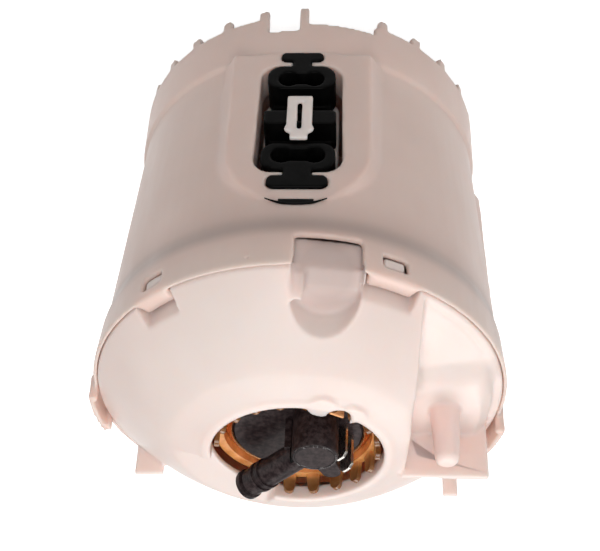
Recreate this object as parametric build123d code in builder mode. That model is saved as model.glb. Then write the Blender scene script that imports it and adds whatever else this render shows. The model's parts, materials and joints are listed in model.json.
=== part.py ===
from build123d import *
import os
from math import atan2, cos, degrees, radians, sin, tan

# Fuel pump module: a moulded reservoir on a toothed collar, an electric pump hung inside it
# on three rubber mounts, and a snap-on domed cover. Millimetres. The module's axis is Z, the
# collar's teeth stand on z = 0, and the front mount faces -Y. A bearing is 0 at the front and
# grows towards +X.

# ---------------------------------------------------------------- driving sizes
# Clearances
running_gap = 0.06
seat_gap = 0.3
slot_gap = 0.1
cut_over = 1.0

# Reservoir housing
collar_radius = 56.3
collar_height = 21.4
collar_free_rise = 1.1
skirt_wall = 2.4
skirt_edge_height = 4.0
wall_setback = 1.1
wall_head_radius = 59.6
wall_head_height = 92.0
shoulder_setback = 1.0
shoulder_height = 99.0
rim_radius = 62.0
rim_height = 110.6
rim_lip = 1.3
ledge_depth = 3.4
housing_wall = 2.2
floor_height = 15.0
floor_thickness = 2.5

# Collar teeth, and the two raised stretches of the skirt's edge beside the front rib
tooth_count = 27
tooth_width = 3.4
tooth_corner = 0.7
tooth_inset = 0.2
front_rib_width = 2.9
raised_edges = [(-23.6, 22.1, 7.75), (1.5, 10.2, 10.8)]

# Mount panels: flat pads round the windows
mount_bearings = [0, 120, 240]
panel_head_radius = 58.95
panel_head_height = 86.6
panel_half_width = 21.0
panel_draft = 29.0
panel_wall = 2.0
boss_wall = 2.2
boss_depth = 11.0
crevice_width = 10.2
crevice_height = 1.7
window_half_foot = 12.2
window_half_head = 12.8
window_foot = 6.5
window_head = 52.6
window_foot_corner = 5.6
window_head_corner = 5.0

# Rubber mounts, measured up the panel from its foot
rubber_depth = 11.0
rubber_proud = 0.4
lower_bar = (0.6, 4.5, 6.5, 1.7)
lower_neck_half = 2.85
lower_ring = (6.9, 17.4, 10.3, 4.6)
lower_hollow = (9.9, 16.1, 6.9)
middle_block = (27.1, 32.9, 10.7, 1.2)
upper_ring = (41.4, 51.9, 10.75, 4.2)
upper_hollow = (43.0, 49.2, 7.8)
upper_neck_half = 4.0
upper_bar = (54.3, 59.2, 8.75, 2.2)
rubber_web_half = 9.4
rubber_web_depth = 7.6
rubber_web_lap = 1.0

# Pump holder: sleeve, arms, pads and clip heads
sleeve_wall = 1.8
sleeve_foot = 33.0
sleeve_head = 110.0
arm_width = 3.0
arm_relief = 1.0
arm_flare = 7.0
pad_half_width = 11.4
pad_foot = 10.6
pad_head = 48.8
pad_thickness = 2.0
stem_half_width = 3.0
stem_half_height = 1.6
clip_foot = 22.6
clip_head = 38.0
clip_half_foot = 3.8
clip_half_head = 4.1
clip_thickness = 1.4
clip_tongue_half = 2.6
clip_shoulder = 3.0
clip_bevel = 1.2
clip_flare = 0.4
clip_ear = 0.9
clip_tongue = 3.0
clip_slot_width = 1.3
clip_slot_foot = 25.3
clip_slot_head = 37.0

# Cover
cover_wall = 2.0
cover_gap = 0.2
crest_radius = 37.0
crest_height = 128.8
dome_bulge = 0.9
hole_radius = 25.2
hole_height = 132.4
hole_collar_wall = 1.8
hole_collar_height = 5.0
lip_width = 3.2
lip_rise = 0.7
channel_bearing = -9.15
channel_half_width = 9.7
channel_end_radius = 46.0
channel_foot = 98.3
channel_wall_setback = 4.4
channel_skirt_lap = 0.3
channel_bend_height = 108.0
channel_floor_radius = 54.0
channel_floor_height = 112.0
channel_end_height = 114.5
channel_rib = (3.8, 53.0, 57.4, 117.0)
notch_foot = 99.5
bay_wall_front = (-35.5, -50.0)
bay_wall_back = (-31.5, 12.0)
bay_rim_height = 111.0
bay_inner_height = 115.0
platform_height = 117.0
platform_front = -13.5
platform_ramp = 5.0
platform_radius = 57.0
plate_face = 11.5
plate_thickness = 2.0
plate_reach = 55.5
plate_height = 131.6
stub_place = (-43.2, -1.5)
stub_root_radius = 4.65
stub_tip_radius = 3.5
stub_height = 135.0
stub_round = 2.0
fins = [(52.4, 29.0, -9.0, 122.0), (-49.0, 37.0, 4.6, 124.0)]
fin_thickness = 1.6
lip_bump = (-17.0, 26.2, 4.2)
lip_bulge = (-37.0, 25.6, 4.6)
lip_tooth = (-41.0, 2.6, 3.0)
lip_plate = 1.0
lip_root = 3.2
hose_gap = (128.5, 33.5, 0.1)

# Snap latches: bearing of the middle, half angle of the shelf
latches = [(40.4, 5.7), (-26.9, 7.1)]
latch_shelf_reach = 5.8
latch_shelf_thickness = 2.8
latch_pocket_gap = 0.6
latch_pocket_margin = 0.6
latch_window_half = 3.6
latch_window_foot = 102.5
latch_window_height = 4.5
tongue_thickness = 1.8
nib_setback = 1.4
nib_gap = 0.5

# Side lugs of the rim
lugs = [(96.5, 8.5, 105.5, 114.0), (252.8, 6.4, 103.5, 115.6)]
lug_reach = 1.5
lug_slot_wall = 1.5
lug_slot_foot = 107.0
lug_slot_share = 0.7

# Pump
can_radius = 21.6
can_wall = 0.9
can_foot = 36.0
can_head_drop = 0.2
crimp_reach = 2.0
crimp_lip_radius = 18.6
isolator_gap = 1.5
boot_height = 10.0
cap_height = 124.4
cap_foot = 101.5
seal_height = 116.0
seal_section = 0.75
crown_inner = 21.8
crown_outer = 24.4
crown_rise = 0.6
crown_tail = 9.0
finger_pitch = 18.0
finger_count = 16
finger_start = 172.0
finger_height = 6.0
finger_root = 4.4
finger_tip = 3.2
finger_thickness = 1.5

# Outlet: nipple, check valve and elbow
outlet_place = (-5.5, -9.8)
nipple_radius = 4.4
nipple_rise = 6.6
valve_chamber_radius = 3.4
valve_seat_radius = 2.2
valve_seat_drop = 4.4
poppet_radius = 3.1
poppet_stem_radius = 1.1
poppet_stem = 5.0
poppet_guide = 4.0
poppet_thickness = 1.4
tower_radius = 6.6
tower_rise = 14.1
tower_round = 0.6
spout_drop = 4.2
spout_bearing = 138.2
spout_radius = 4.1
spout_bore = 2.7
spout_length = 31.5
bead_radius = 4.5
bead_length = 2.6
spout_rings = [21.8, 24.4]
ring_length = 1.2
ring_rise = 0.45
tail_direction = (-0.24, 0.97)
tail_root = 3.6
tail_length = 18.0
tail_half_width = 2.8
tail_foot_rise = 1.6
tail_head_rise = 8.6
terminal_places = [(-14.3, 2.9), (-12.7, -3.4)]
terminal_width = 5.5
terminal_thickness = 0.8
terminal_rise = 10.6
terminal_root_drop = 6.4
terminal_turn = 51.1

# Motor and impeller
shaft_radius = 1.6
shaft_foot = 40.5
shaft_head = 107.0
bearing_radius = 4.0
bearing_length = 4.0
armature_radius = 14.5
armature_foot = 58.0
armature_head = 92.0
armature_slots = 10
armature_slot_width = 1.2
armature_slot_depth = 2.6
winding_radius = 11.0
winding_height = 4.0
commutator_radius = 9.5
commutator_foot = 96.5
commutator_head = 100.0
magnet_inner = 15.6
magnet_span = 130.0
magnet_foot = 56.0
magnet_head = 94.0
brush_offset = 6.4
brush_width = 4.6
brush_depth = 3.6
brush_length = 9.0
brush_spring_radius = 1.3
brush_spring_head = 117.5
spring_wire = 0.3
impeller_radius = 17.0
impeller_foot = 43.1
impeller_thickness = 3.6
impeller_blades = 24
blade_depth = 2.6
blade_gap = 1.6
pump_floor = 43.0
pump_roof = 52.0
inlet_place_radius = 12.0
inlet_bearing = 60.0
inlet_radius = 5.0
inlet_bore = 3.2
inlet_foot = 30.0
screen_radius = 8.0
screen_foot = 20.6
screen_wall = 1.0

# Foot valve and strainer
flap_radius = 11.0
flap_thickness = 1.2
flap_post_radius = 2.2
flap_head_radius = 3.6
flap_lift = 1.6
flap_head_thickness = 1.2
inlet_hole_radius = 2.0
inlet_hole_ring = 6.4
inlet_hole_count = 6
strainer_ring_radius = 22.5
strainer_ring_wall = 2.2
strainer_ring_drop = 3.5
strainer_thickness = 1.2
strainer_slots = 6
strainer_slot_ring = 12.4
strainer_slot_size = (13.5, 6.75, 2.0)

# ---------------------------------------------------------------- derived sizes
ledge_height = rim_height - ledge_depth
cover_edge_radius = rim_radius - rim_lip - cover_gap
wall_foot_radius = collar_radius - wall_setback
shoulder_radius = rim_radius - shoulder_setback
panel_foot_radius = collar_radius
channel_wall_radius = rim_radius - channel_wall_setback
channel_skirt_radius = channel_wall_radius + channel_skirt_lap
latch_shelf_radius = rim_radius - latch_shelf_reach
latch_pocket_radius = latch_shelf_radius - latch_pocket_gap
nib_reach = rim_radius - nib_setback
lug_radius = rim_radius + lug_reach
hose_gap_floor = crest_height - hose_gap[2]
lip_head = hole_height - lip_rise / 3
panel_slope = atan2(panel_head_radius - panel_foot_radius, panel_head_height - collar_height)
panel_length = (panel_head_height - collar_height) / cos(panel_slope)
panel_bend = panel_length - panel_half_width
sleeve_inner = can_radius + isolator_gap + slot_gap
sleeve_outer = sleeve_inner + sleeve_wall
can_inner = can_radius - can_wall
cap_radius = can_inner - running_gap
pad_depth = rubber_depth - rubber_proud + seat_gap
outlet_x, outlet_y = outlet_place
can_head = cap_height - can_head_drop
crown_height = cap_height + crown_rise
nipple_height = cap_height + nipple_rise
valve_seat_height = cap_height - valve_seat_drop
tower_height = cap_height + tower_rise
spout_height = tower_height - spout_drop
tail_foot = cap_height + tail_foot_rise
tail_head = cap_height + tail_head_rise
terminal_height = cap_height + terminal_rise
terminal_root = cap_height - terminal_root_drop

os.makedirs("parts", exist_ok=True)


# ---------------------------------------------------------------- planes and shared outlines
def outward(bearing):
    """Unit vector away from the axis at a bearing."""
    return Vector(sin(radians(bearing)), -cos(radians(bearing)), 0)


def sideways(bearing):
    """Unit vector round the axis at a bearing."""
    return Vector(cos(radians(bearing)), sin(radians(bearing)), 0)


def section_plane(bearing):
    """Half section through the axis: x is the radius and y the height."""
    return Plane(origin=(0, 0, 0), x_dir=outward(bearing), z_dir=-sideways(bearing))


def facing_plane(bearing, radius=0.0, height=0.0):
    """Upright plane across a bearing: x is sideways, y the height and z outward."""
    place = outward(bearing) * radius + Vector(0, 0, height)
    return Plane(origin=place, x_dir=sideways(bearing), z_dir=outward(bearing))


def plan_plane(bearing, height=0.0):
    """Level plane turned to a bearing: x points outward."""
    return Plane(origin=(0, 0, height), x_dir=outward(bearing), z_dir=(0, 0, 1))


def panel_plane(bearing, depth=0.0):
    """Plane on a mount panel's face, or so deep behind it: y runs up the slope."""
    normal = outward(bearing) * cos(panel_slope) - Vector(0, 0, sin(panel_slope))
    foot = outward(bearing) * panel_foot_radius + Vector(0, 0, collar_height)
    return Plane(origin=foot - normal * depth, x_dir=sideways(bearing), z_dir=normal)


def ring_sector(bearing, span, inner, outer, foot, head, mode=Mode.ADD):
    """Part of a ring of rectangular section, from one bearing through a span."""
    with BuildSketch(section_plane(bearing)) as section:
        with Locations(((inner + outer) / 2, (foot + head) / 2)):
            Rectangle(outer - inner, head - foot)
    revolve(section.sketch, axis=Axis.Z, revolution_arc=span, mode=mode)


def block_between(half_width, foot, head, corner=0.0):
    """Rectangle centred across the panel, between two heights up its slope."""
    with Locations((0, (foot + head) / 2)):
        if corner > 0:
            RectangleRounded(2 * half_width, head - foot, corner)
        else:
            Rectangle(2 * half_width, head - foot)


def t_bars(grow=0.0):
    """Both T-bars with their necks, grown all round by a clearance."""
    for foot, head, half, corner in (lower_bar, upper_bar):
        block_between(half + grow, foot - grow, head + grow, corner)
    block_between(lower_neck_half + grow, lower_bar[1] - cut_over, lower_ring[0] + cut_over)
    block_between(upper_neck_half + grow, upper_ring[1] - cut_over, upper_bar[0] + cut_over)


def panel_outline(bearing, depth=0.0, inset=0.0):
    """Pad outline: straight from the collar, round at its head."""
    half = panel_half_width - inset
    with BuildSketch(panel_plane(bearing, depth)) as outline:
        block_between(half, 0, panel_bend)
        with Locations((0, panel_bend)):
            Circle(half)
    return outline.sketch


def window_outline():
    """Window, a little wider at its head, with round corners."""
    with BuildSketch(Plane.XY, mode=Mode.PRIVATE) as window:
        with BuildLine():
            Polyline(
                (-window_half_foot, window_foot),
                (window_half_foot, window_foot),
                (window_half_head, window_head),
                (-window_half_head, window_head),
                close=True,
            )
        make_face()
        corners = window.vertices()
        fillet(corners.group_by(Axis.Y)[0], window_foot_corner)
        fillet(window.vertices().group_by(Axis.Y)[-1], window_head_corner)
    return window.sketch


# ---------------------------------------------------------------- reservoir housing
def housing_line(inset):
    """Side of the reservoir from its collar to its rim, inset by the wall inside."""
    slope = Vector(wall_head_radius - wall_foot_radius, wall_head_height - collar_height)
    rim_slope = Vector(rim_radius - shoulder_radius, rim_height - shoulder_height)
    chamfer_rise = collar_radius - wall_foot_radius
    foot = (wall_foot_radius - inset, collar_height + chamfer_rise)
    head = (wall_head_radius - inset, wall_head_height)
    shoulder = (shoulder_radius - inset, shoulder_height)
    Line(foot, head)
    Spline(head, shoulder, tangents=[slope.normalized(), rim_slope.normalized()])
    return foot, shoulder


with BuildPart() as reservoir_housing:
    # Solid outline of the pot
    with BuildSketch(Plane.XZ):
        with BuildLine():
            foot, shoulder = housing_line(0)
            Polyline(shoulder, (rim_radius, rim_height), (0, rim_height), (0, skirt_edge_height))
            Polyline(
                (0, skirt_edge_height),
                (collar_radius, skirt_edge_height),
                (collar_radius, collar_height),
                foot,
            )
        make_face()
    revolve(axis=Axis.Z)
    # Flat pads for the mounts: their heads dip just under the wall's surface
    for bearing in mount_bearings:
        extrude(panel_outline(bearing), amount=cut_over + housing_wall, mode=Mode.SUBTRACT)
        extrude(panel_outline(bearing), amount=-boss_depth, taper=-panel_draft)
    ring_sector(0, 360, collar_radius, rim_radius, 0, collar_height, Mode.SUBTRACT)
    # Chamfer the pads' corners above the collar, clear of the locating ring
    with BuildSketch(Plane.XZ):
        with BuildLine():
            Polyline(
                (collar_radius, collar_height),
                (collar_radius + collar_free_rise, collar_height + collar_free_rise),
                (rim_radius, collar_height + collar_free_rise),
                (rim_radius, collar_height),
                close=True,
            )
        make_face()
    revolve(axis=Axis.Z, mode=Mode.SUBTRACT)
    # Inside: fuel space above the floor, open skirt below it
    with BuildSketch(Plane.XZ):
        with BuildLine():
            foot, shoulder = housing_line(housing_wall)
            Polyline(
                shoulder,
                (rim_radius - housing_wall, ledge_height),
                (rim_radius - rim_lip, ledge_height),
                (rim_radius - rim_lip, rim_height + cut_over),
                (0, rim_height + cut_over),
                (0, floor_height),
                (foot[0], floor_height),
                foot,
            )
        make_face()
        with Locations(((collar_radius - skirt_wall) / 2, (floor_height - floor_thickness - cut_over) / 2)):
            Rectangle(collar_radius - skirt_wall, floor_height - floor_thickness + cut_over)
    revolve(axis=Axis.Z, mode=Mode.SUBTRACT)
    # Collar teeth, evenly pitched but for the raised stretches, and the front rib
    for index in range(tooth_count):
        bearing = index * 360 / tooth_count
        turn = (bearing + 180) % 360 - 180
        in_raised = any(start <= turn <= start + span for start, span, level in raised_edges)
        if in_raised or index == 0:
            continue
        with BuildSketch(facing_plane(bearing, collar_radius - skirt_wall + tooth_inset)):
            with BuildLine():
                half = tooth_width / 2
                Polyline(
                    (-half, skirt_edge_height),
                    (-half, tooth_corner),
                    (-half + tooth_corner, 0),
                    (half - tooth_corner, 0),
                    (half, tooth_corner),
                    (half, skirt_edge_height),
                    close=True,
                )
            make_face()
        extrude(amount=skirt_wall - 2 * tooth_inset)
    for start, span, level in raised_edges:
        ring_sector(
            start,
            span,
            collar_radius - 2 * skirt_wall,
            collar_radius + cut_over,
            -cut_over,
            level,
            Mode.SUBTRACT,
        )
    with BuildSketch(facing_plane(0, collar_radius - skirt_wall + tooth_inset)):
        with Locations((0, raised_edges[1][2] / 2)):
            Rectangle(front_rib_width, raised_edges[1][2])
    extrude(amount=skirt_wall - 2 * tooth_inset)
    # Behind each pad: hollow it to an even wall, then box in the window and the T-slots
    for bearing in mount_bearings:
        extrude(
            panel_outline(bearing, panel_wall, panel_wall),
            amount=-boss_depth,
            taper=-panel_draft / 2,
            mode=Mode.SUBTRACT,
        )
        with BuildSketch(panel_plane(bearing, panel_wall / 2)):
            block_between(
                window_half_head + boss_wall,
                lower_bar[0],
                upper_bar[1] + boss_wall,
                window_head_corner,
            )
        extrude(amount=panel_wall / 2 - boss_depth)
        with BuildSketch(panel_plane(bearing, skirt_wall)):
            block_between(lower_bar[2] + boss_wall, lower_bar[0] - boss_wall, lower_ring[0])
        extrude(amount=skirt_wall - boss_depth)
        with BuildSketch(panel_plane(bearing, -cut_over)):
            add(window_outline())
            t_bars(slot_gap)
        extrude(amount=-boss_depth - 3 * cut_over, mode=Mode.SUBTRACT)
        with BuildSketch(panel_plane(bearing, -cut_over)):
            block_between(crevice_width / 2, panel_length - crevice_height, panel_length)
        extrude(amount=-2 * housing_wall - cut_over, mode=Mode.SUBTRACT)
    # Rim notch for the cover's channel
    ring_sector(
        channel_bearing - degrees(atan2(channel_half_width, rim_radius)),
        2 * degrees(atan2(channel_half_width, rim_radius)),
        shoulder_radius - 2 * housing_wall,
        rim_radius + cut_over,
        notch_foot,
        rim_height + cut_over,
        Mode.SUBTRACT,
    )
    # Latch shelves inside the rim, and the windows that the cover's nibs catch in
    for bearing, half_angle in latches:
        ring_sector(
            bearing - half_angle,
            2 * half_angle,
            latch_shelf_radius,
            rim_radius - rim_lip / 2,
            rim_height + seat_gap - latch_shelf_thickness,
            rim_height + seat_gap,
        )
        ring_sector(
            bearing - latch_window_half,
            2 * latch_window_half,
            shoulder_radius - 2 * housing_wall,
            rim_radius + cut_over,
            latch_window_foot,
            latch_window_foot + latch_window_height,
            Mode.SUBTRACT,
        )
    # Side lugs, each with a slot behind its outer wall
    for bearing, half_angle, foot, head in lugs:
        ring_sector(bearing - half_angle, 2 * half_angle, rim_radius - rim_lip, lug_radius, foot, head)
        half_slot = half_angle * lug_slot_share
        ring_sector(
            bearing - half_slot,
            2 * half_slot,
            rim_radius - rim_lip - slot_gap,
            lug_radius - lug_slot_wall,
            lug_slot_foot,
            head + cut_over,
            Mode.SUBTRACT,
        )
    # Ring for the strainer and the inlet holes under the foot valve, with its headed post
    with BuildSketch(Plane.XY.offset(floor_height - floor_thickness)):
        Circle(strainer_ring_radius)
        Circle(strainer_ring_radius - strainer_ring_wall, mode=Mode.SUBTRACT)
    extrude(amount=-strainer_ring_drop)
    with BuildSketch(Plane.XY.offset(floor_height)):
        with PolarLocations(inlet_hole_ring, inlet_hole_count):
            Circle(inlet_hole_radius)
    extrude(amount=-floor_thickness, mode=Mode.SUBTRACT)
    with BuildSketch(Plane.XY.offset(floor_height)):
        Circle(flap_post_radius)
    extrude(amount=flap_thickness + flap_lift + flap_head_thickness)
    with BuildSketch(Plane.XY.offset(floor_height + flap_thickness + flap_lift)):
        Circle(flap_head_radius)
    extrude(amount=flap_head_thickness)
reservoir_housing.part.label = "reservoir_housing"
export_step(reservoir_housing.part, "parts/reservoir_housing.step")

# ---------------------------------------------------------------- foot valve and strainer
with BuildPart() as foot_valve_flap:
    with BuildSketch(Plane.XY.offset(floor_height)):
        Circle(flap_radius)
        Circle(flap_post_radius + running_gap, mode=Mode.SUBTRACT)
    extrude(amount=flap_thickness)
foot_valve_flap.part.label = "foot_valve_flap"
export_step(foot_valve_flap.part, "parts/foot_valve_flap.step")

strainer_seat = floor_height - floor_thickness - strainer_ring_drop
with BuildPart() as base_strainer:
    with BuildSketch(Plane.XY.offset(strainer_seat)):
        Circle(strainer_ring_radius + strainer_thickness + running_gap)
        Circle(strainer_ring_radius + running_gap, mode=Mode.SUBTRACT)
    extrude(amount=strainer_ring_drop - seat_gap)
    with BuildSketch(Plane.XY.offset(strainer_seat)):
        Circle(strainer_ring_radius + strainer_thickness + running_gap)
        with PolarLocations(strainer_slot_ring, strainer_slots):
            RectangleRounded(*strainer_slot_size, mode=Mode.SUBTRACT)
    extrude(amount=-strainer_thickness)
base_strainer.part.label = "base_strainer"
export_step(base_strainer.part, "parts/base_strainer.step")

# ---------------------------------------------------------------- rubber mounts
for number, bearing in enumerate(mount_bearings, 1):
    with BuildPart() as rubber_mount:
        with BuildSketch(panel_plane(bearing, -rubber_proud)):
            t_bars()
            for foot, head, half, corner in (lower_ring, middle_block, upper_ring):
                block_between(half, foot, head, corner)
            for foot, head, half in (lower_hollow, upper_hollow):
                lobe = (head - foot) / 2
                with Locations((lobe - half, (foot + head) / 2), (half - lobe, (foot + head) / 2)):
                    Circle(lobe, mode=Mode.SUBTRACT)
                with Locations((0, (foot + head) / 2)):
                    Rectangle(2 * (half - lobe), 1.5 * lobe, mode=Mode.SUBTRACT)
            with Locations((0, (middle_block[0] + middle_block[1]) / 2)):
                Rectangle(
                    2 * (stem_half_width + slot_gap),
                    2 * (stem_half_height + slot_gap),
                    mode=Mode.SUBTRACT,
                )
        extrude(amount=-rubber_depth)
        # Web that joins the rings and the block behind
        with BuildSketch(panel_plane(bearing, rubber_web_depth - rubber_proud)):
            block_between(rubber_web_half, lower_ring[1] - rubber_web_lap, middle_block[0] + rubber_web_lap)
            block_between(rubber_web_half, middle_block[1] - rubber_web_lap, upper_ring[0] + rubber_web_lap)
        extrude(amount=rubber_web_depth - rubber_depth)
    rubber_mount.part.label = f"rubber_mount_{number}"
    export_step(rubber_mount.part, f"parts/rubber_mount_{number}.step")

# ---------------------------------------------------------------- pump holder
with BuildPart() as pump_holder:
    # Sleeve with an inward foot flange
    with BuildSketch(Plane.XZ):
        with BuildLine():
            Polyline(
                (crimp_lip_radius, sleeve_foot),
                (sleeve_outer, sleeve_foot),
                (sleeve_outer, sleeve_head),
                (sleeve_inner, sleeve_head),
                (sleeve_inner, sleeve_foot + sleeve_wall),
                (crimp_lip_radius, sleeve_foot + sleeve_wall),
                close=True,
            )
        make_face()
    revolve(axis=Axis.Z)
    for bearing in mount_bearings:
        # Arm: an upright web from the sleeve to the pad
        with BuildSketch(section_plane(bearing)):
            with BuildLine():
                pad_middle = panel_foot_radius - pad_depth - pad_thickness / 2
                low = collar_height + pad_foot + arm_relief
                high = collar_height + pad_head - arm_relief
                Polyline(
                    (sleeve_outer - sleeve_wall / 2, low + arm_flare),
                    (pad_middle + (low - collar_height) * tan(panel_slope), low),
                    (pad_middle + (high - collar_height) * tan(panel_slope), high),
                    (sleeve_outer - sleeve_wall / 2, high + arm_flare),
                    close=True,
                )
            make_face()
        extrude(amount=arm_width / 2, both=True)
        # Pad behind the rubber, stem through its middle block, slotted clip head in front
        with BuildSketch(panel_plane(bearing, pad_depth)):
            block_between(pad_half_width, pad_foot, pad_head, window_head_corner)
        extrude(amount=-pad_thickness)
        with BuildSketch(panel_plane(bearing, pad_depth)):
            with Locations((0, (middle_block[0] + middle_block[1]) / 2)):
                Rectangle(2 * stem_half_width, 2 * stem_half_height)
        extrude(amount=pad_depth + rubber_proud + seat_gap)
        with BuildSketch(panel_plane(bearing, -rubber_proud - seat_gap)):
            with BuildLine():
                Polyline(
                    (-clip_half_foot, clip_foot),
                    (clip_half_foot, clip_foot),
                    (clip_half_foot, clip_head - clip_shoulder),
                    (clip_half_head + clip_flare, clip_head - clip_bevel),
                    (clip_tongue_half + clip_ear, clip_head),
                    (clip_tongue_half, clip_head),
                    (clip_tongue_half, clip_head + clip_tongue),
                    (-clip_tongue_half, clip_head + clip_tongue),
                    (-clip_tongue_half, clip_head),
                    (-clip_tongue_half - clip_ear, clip_head),
                    (-clip_half_head - clip_flare, clip_head - clip_bevel),
                    (-clip_half_foot, clip_head - clip_shoulder),
                    close=True,
                )
            make_face()
            with Locations((0, (clip_slot_foot + clip_slot_head) / 2)):
                Rectangle(clip_slot_width, clip_slot_head - clip_slot_foot, mode=Mode.SUBTRACT)
        extrude(amount=clip_thickness)
pump_holder.part.label = "pump_holder"
export_step(pump_holder.part, "parts/pump_holder.step")


# ---------------------------------------------------------------- cover
def dome_profile(inset):
    """Half section of the dome, solid down to the rim's ledge, moved in by an inset."""
    lean = atan2(crest_height - rim_height, cover_edge_radius - crest_radius)
    foot = ledge_height - (cut_over if inset else 0)
    edge = (cover_edge_radius - inset, rim_height + inset * (tan(lean) - 1 / cos(lean)))
    crest = (crest_radius, crest_height - inset / cos(lean))
    bulge_radius = (edge[0] + crest[0]) / 2 + dome_bulge * sin(lean)
    bulge_height = (edge[1] + crest[1]) / 2 + dome_bulge * cos(lean)
    lip = (hole_radius + lip_width, hole_height - lip_rise - inset)
    ThreePointArc(edge, (bulge_radius, bulge_height), crest)
    Polyline(crest, lip, (0, lip[1]), (0, foot), (edge[0], foot), edge)


def bay_air(inset):
    """Air over the lowered bay beside the opening, or with an inset its walls as well."""
    with BuildPart() as air:
        with BuildSketch(Plane.XZ):
            with BuildLine():
                Polyline(
                    (0, bay_inner_height - inset),
                    (crest_radius / 2, bay_inner_height - inset),
                    (cover_edge_radius, bay_rim_height - inset),
                    (rim_radius + cut_over, bay_rim_height - inset),
                    (rim_radius + cut_over, hole_height),
                    (0, hole_height),
                    close=True,
                )
            make_face()
        revolve(axis=Axis.Z)
        with BuildSketch(Plane.YZ.offset(-rim_radius - 2 * cut_over)):
            with BuildLine():
                Polyline(
                    (platform_front - platform_ramp, bay_rim_height - 2 * cover_wall),
                    (platform_front - platform_ramp, bay_rim_height + cover_wall - inset),
                    (platform_front, platform_height - inset),
                    (rim_radius, platform_height - inset),
                    (rim_radius, bay_rim_height - 2 * cover_wall),
                    close=True,
                )
            make_face()
        extrude(amount=rim_radius, mode=Mode.SUBTRACT)
        ring_sector(
            0, 360, platform_radius - inset, rim_radius + cut_over, bay_rim_height - inset, hole_height
        )
        with BuildSketch(Plane.XY.offset(bay_rim_height - 3 * cover_wall)):
            with BuildLine():
                Polyline(
                    (bay_wall_front[0] + inset, bay_wall_front[1]),
                    (bay_wall_back[0] + inset, plate_face + inset),
                    (-rim_radius - 2 * cut_over, plate_face + inset),
                    (-rim_radius - 2 * cut_over, bay_wall_front[1]),
                    close=True,
                )
            make_face()
        extrude(amount=hole_height, mode=Mode.INTERSECT)
    return air.part


def channel_air(grow):
    """Air in the shoulder's channel, or grown by a wall to its outside."""
    with BuildPart() as air:
        with BuildSketch(section_plane(channel_bearing)):
            with BuildLine():
                Polyline(
                    (rim_radius + 3 * cut_over, channel_foot - 3 * cut_over),
                    (channel_wall_radius - grow, channel_foot - 3 * cut_over),
                    (channel_wall_radius - grow, channel_bend_height - grow),
                    (channel_floor_radius, channel_floor_height - grow),
                    (channel_end_radius - 2 * grow, channel_end_height - grow),
                    (channel_end_radius - 2 * grow, hole_height + cut_over),
                    (rim_radius + 3 * cut_over, hole_height + cut_over),
                    close=True,
                )
            make_face()
        extrude(amount=channel_half_width + grow, both=True)
        with BuildSketch(plan_plane(channel_bearing, channel_foot - 4 * cut_over)):
            middle = channel_end_radius + channel_half_width
            reach = rim_radius + 3 * cut_over - middle
            with Locations((middle, 0)):
                Circle(channel_half_width + grow)
            with Locations((middle + reach / 2, 0)):
                Rectangle(reach, 2 * (channel_half_width + grow))
        extrude(amount=hole_height, mode=Mode.INTERSECT)
    return air.part


def cover_form(inset):
    """Outside of the cover as a solid, or with an inset the space inside its walls."""
    with BuildPart() as form:
        with BuildSketch(Plane.XZ):
            with BuildLine():
                dome_profile(inset)
            make_face()
        revolve(axis=Axis.Z)
        add(bay_air(inset), mode=Mode.SUBTRACT)
        for bearing, half_angle in latches:
            reach = latch_pocket_radius - inset
            half = half_angle + latch_pocket_margin + degrees(atan2(inset, latch_pocket_radius))
            ring_sector(
                bearing - half,
                2 * half,
                reach,
                rim_radius + cut_over,
                ledge_height - 2 * cut_over,
                hole_height,
                Mode.SUBTRACT,
            )
        if inset:
            add(channel_air(inset), mode=Mode.SUBTRACT)
    return form.part


def channel_skirt():
    """Channel's own wall where it hangs below the ledge, behind the rim's notch."""
    with BuildPart() as skirt:
        with BuildSketch(Plane.XY.offset(channel_foot)):
            Circle(channel_skirt_radius)
        extrude(amount=ledge_height + cut_over - channel_foot)
        add(channel_air(cover_wall), mode=Mode.INTERSECT)
    return skirt.part


def hose_gap_walls():
    """Floor and ends of the gap in the lip where the hose leaves over the dome."""
    bearing, half_angle, drop = hose_gap
    wall_angle = degrees(atan2(cover_wall, hole_radius))
    half = half_angle + wall_angle
    with BuildPart() as walls:
        ring_sector(
            bearing - half,
            2 * half,
            hole_radius,
            crest_radius + cover_wall,
            hose_gap_floor - cover_wall,
            hole_height,
        )
        add(cover_form(0), mode=Mode.INTERSECT)
    return walls.part


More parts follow.
